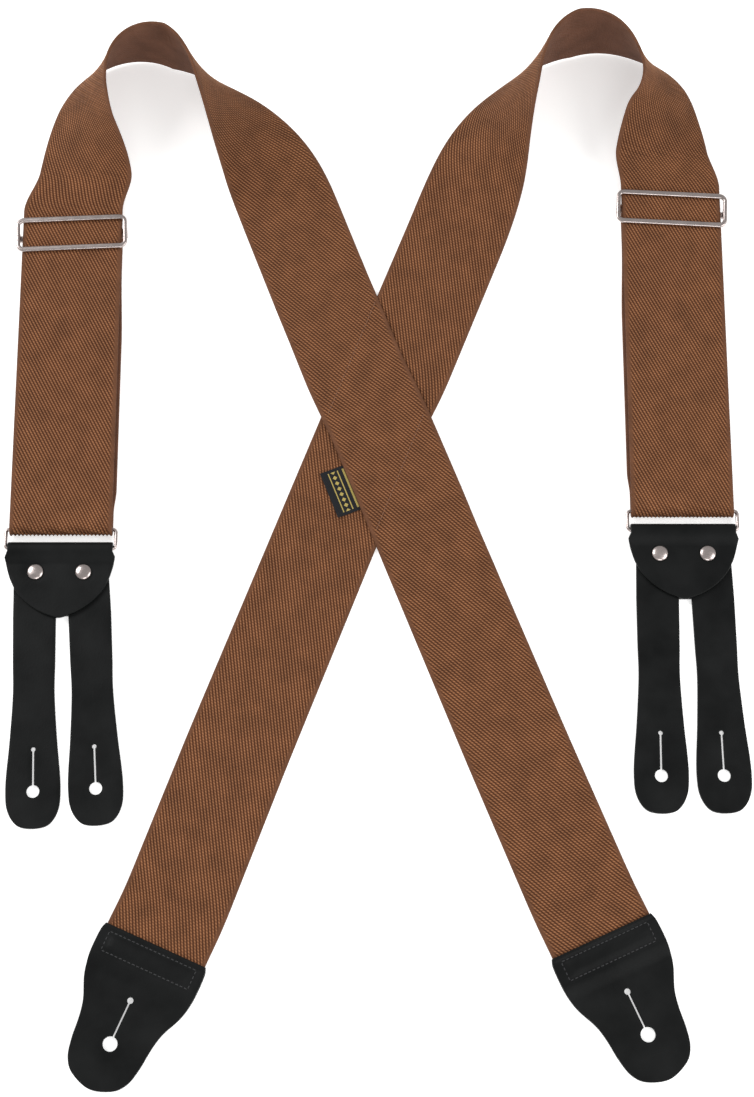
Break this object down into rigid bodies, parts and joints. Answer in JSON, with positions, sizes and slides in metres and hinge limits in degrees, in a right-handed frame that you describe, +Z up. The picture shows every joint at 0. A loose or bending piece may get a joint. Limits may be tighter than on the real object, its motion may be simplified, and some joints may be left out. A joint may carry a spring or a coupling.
{
  "type": "suspenders",
  "caption": "Button-on trouser suspenders in wide ribbed elastic webbing, with leather tab ends, wire rings and sliding metal adjusters, crossed and sewn at the back.",
  "frame": {"origin": "bottom centre of the laid-out suspenders, on the surface they lie on", "axes": "+X to the right as laid out, +Y along the straps towards the shoulder arches, +Z up from the surface"},
  "size_m": [0.3624, 0.531, 0.0515],
  "materials": {
    "webbing": "ribbed twill elastic webbing, brown",
    "leather": "smooth black leather, semi-gloss",
    "nickel": "nickel-plated steel",
    "thread": "brown sewing thread",
    "black_thread": "black sewing thread",
    "label": "black woven label"
  },
  "bodies": {
    "root": {"over_strap": "webbing", "under_strap": "webbing", "cross_stitching": "thread", "woven_label": "label", "left_back_face": "leather", "left_back_backing": "leather", "left_back_stitching": "black_thread", "right_back_face": "leather", "right_back_backing": "leather", "right_back_stitching": "black_thread"},
    "left_strap_fold": {"left_ring_loop": "webbing", "left_rear_layer": "webbing"},
    "left_adjuster_body": {"left_adjuster": "nickel", "left_hem": "webbing", "left_hem_stitching": "thread"},
    "left_ring_body": {"left_ring": "nickel"},
    "left_drop_body": {"left_drop_leather": "leather", "left_rivet_caps": "nickel", "left_rivet_posts": "nickel"},
    "right_strap_fold": {"right_ring_loop": "webbing", "right_rear_layer": "webbing"},
    "right_adjuster_body": {"right_adjuster": "nickel", "right_hem": "webbing", "right_hem_stitching": "thread"},
    "right_ring_body": {"right_ring": "nickel"},
    "right_drop_body": {"right_drop_leather": "leather", "right_rivet_caps": "nickel", "right_rivet_posts": "nickel"}
  },
  "joints": [
    {"name": "left_strap_feed", "type": "slide", "parent": "root", "child": "left_strap_fold", "axis": [0, -1, 0], "range_m": [0, 0.032]},
    {"name": "left_adjuster_slide", "type": "slide", "parent": "left_strap_fold", "child": "left_adjuster_body", "axis": [0, -1, 0], "range_m": [0, 0.032], "deforming": ["left_rear_layer"]},
    {"name": "left_ring_swing", "type": "hinge", "parent": "left_strap_fold", "child": "left_ring_body", "pos_m": [-0.15257, 0.00317, 0.00335], "axis": [-1, 0, 0], "range_deg": [0, 90]},
    {"name": "left_drop_swing", "type": "hinge", "parent": "left_ring_body", "child": "left_drop_body", "pos_m": [-0.15257, -0.00658, 0.0032], "axis": [-1, 0, 0], "range_deg": [0, 90]},
    {"name": "right_strap_feed", "type": "slide", "parent": "root", "child": "right_strap_fold", "axis": [0, -1, 0], "range_m": [0, 0.032]},
    {"name": "right_adjuster_slide", "type": "slide", "parent": "right_strap_fold", "child": "right_adjuster_body", "axis": [0, -1, 0], "range_m": [0, 0.032], "deforming": ["right_rear_layer"]},
    {"name": "right_ring_swing", "type": "hinge", "parent": "right_strap_fold", "child": "right_ring_body", "pos_m": [0.15253, 0.01257, 0.00335], "axis": [-1, 0, 0], "range_deg": [0, 90]},
    {"name": "right_drop_swing", "type": "hinge", "parent": "right_ring_body", "child": "right_drop_body", "pos_m": [0.15253, 0.00282, 0.0032], "axis": [-1, 0, 0], "range_deg": [0, 90]}
  ],
  "couplings": [
    {"joint": "left_adjuster_slide", "follows": "left_strap_feed", "ratio": 1},
    {"joint": "right_adjuster_slide", "follows": "right_strap_feed", "ratio": 1}
  ]
}
